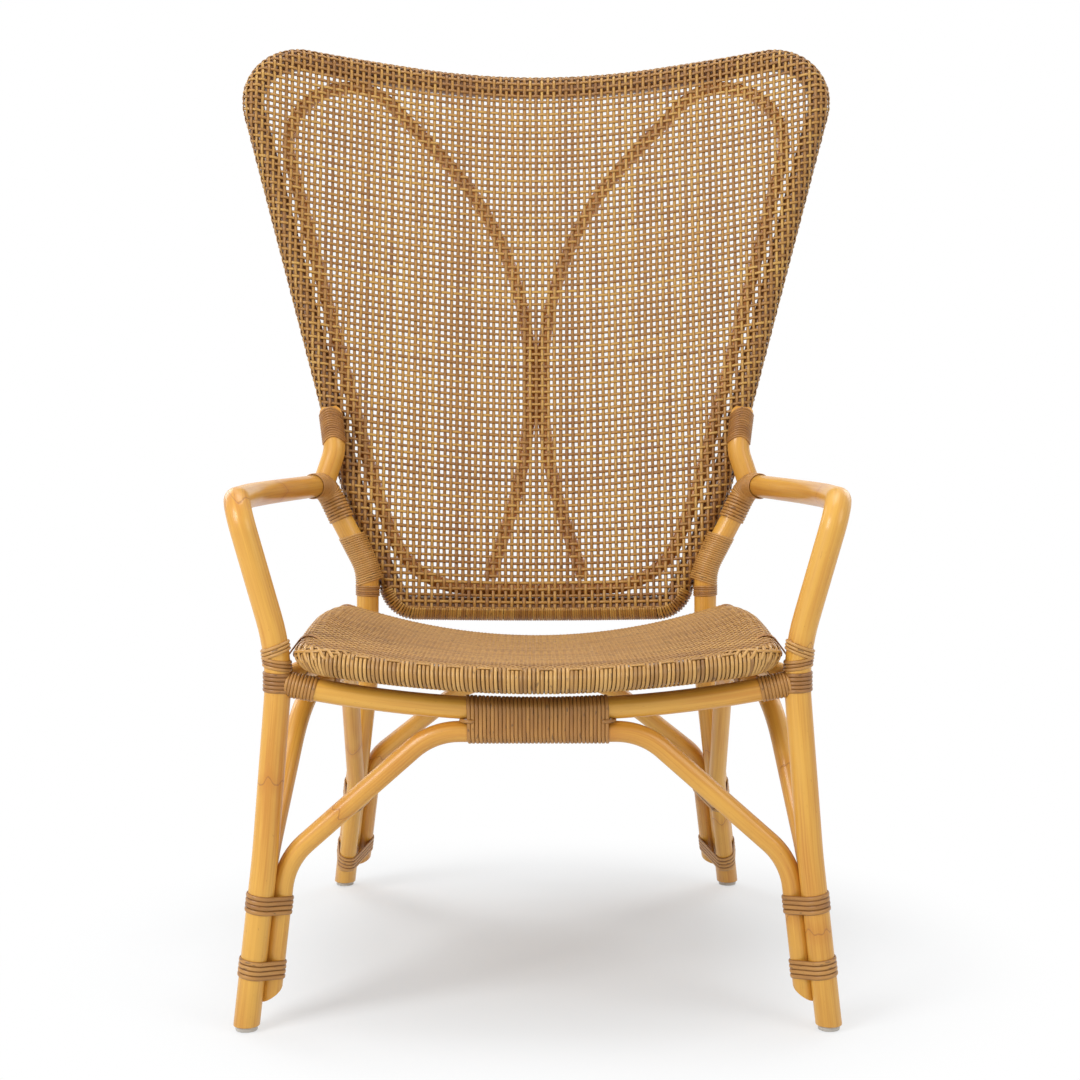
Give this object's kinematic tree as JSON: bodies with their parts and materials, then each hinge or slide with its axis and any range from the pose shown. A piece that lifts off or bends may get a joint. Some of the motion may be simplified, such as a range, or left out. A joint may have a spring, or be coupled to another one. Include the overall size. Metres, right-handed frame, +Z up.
{
  "type": "rattan lounge chair",
  "caption": "High-backed lounge chair of bent rattan poles bound with cane, with a woven dished seat, a woven winged back and open arms.",
  "frame": {"origin": "on the floor, at the middle of the chair's bounding box seen from above", "axes": "+X to the right seen from the front, +Y from the front feet to the rear feet, +Z up"},
  "size_m": [0.8166, 0.7588, 1.2033],
  "materials": {
    "lacquered_rattan_pole": "clear satin lacquer over peeled rattan",
    "woven_cane": "lacquered woven rattan strands",
    "bound_cane": "satin, grey-brown rattan strands",
    "clear_plastic": "pale translucent plastic"
  },
  "bodies": {
    "root": {"front_rail": "lacquered_rattan_pole", "rear_rail": "lacquered_rattan_pole", "front_arch_brace": "lacquered_rattan_pole", "rear_arch_brace": "lacquered_rattan_pole", "seat_frame": "lacquered_rattan_pole", "back_frame": "lacquered_rattan_pole", "seat_weave": "woven_cane", "back_weave": "woven_cane", "front_centre_binding": "bound_cane", "rear_centre_binding": "bound_cane", "right_front_leg_arm": "lacquered_rattan_pole", "left_front_leg_arm": "lacquered_rattan_pole", "right_back_post": "lacquered_rattan_pole", "left_back_post": "lacquered_rattan_pole", "right_side_rail": "lacquered_rattan_pole", "left_side_rail": "lacquered_rattan_pole", "right_side_brace": "lacquered_rattan_pole", "left_side_brace": "lacquered_rattan_pole", "right_back_hoop": "lacquered_rattan_pole", "left_back_hoop": "lacquered_rattan_pole", "right_front_lower_leg_binding": "bound_cane", "left_front_lower_leg_binding": "bound_cane", "right_front_upper_leg_binding": "bound_cane", "left_front_upper_leg_binding": "bound_cane", "right_rear_lower_leg_binding": "bound_cane", "left_rear_lower_leg_binding": "bound_cane", "right_rear_upper_leg_binding": "bound_cane", "left_rear_upper_leg_binding": "bound_cane", "right_front_post_binding": "bound_cane", "left_front_post_binding": "bound_cane", "right_front_post_lashing": "bound_cane", "left_front_post_lashing": "bound_cane", "right_front_rail_end_binding": "bound_cane", "left_front_rail_end_binding": "bound_cane", "right_side_centre_binding": "bound_cane", "left_side_centre_binding": "bound_cane", "right_front_seat_tie": "bound_cane", "left_front_seat_tie": "bound_cane", "right_rear_seat_tie": "bound_cane", "left_rear_seat_tie": "bound_cane", "right_arm_joint_binding": "bound_cane", "left_arm_joint_binding": "bound_cane", "right_elbow_binding": "bound_cane", "left_elbow_binding": "bound_cane", "right_upper_back_binding": "bound_cane", "left_upper_back_binding": "bound_cane", "right_lower_back_binding": "bound_cane", "left_lower_back_binding": "bound_cane", "right_front_foot_glide": "clear_plastic", "left_front_foot_glide": "clear_plastic", "right_rear_foot_glide": "clear_plastic", "left_rear_foot_glide": "clear_plastic"}
  },
  "joints": []
}
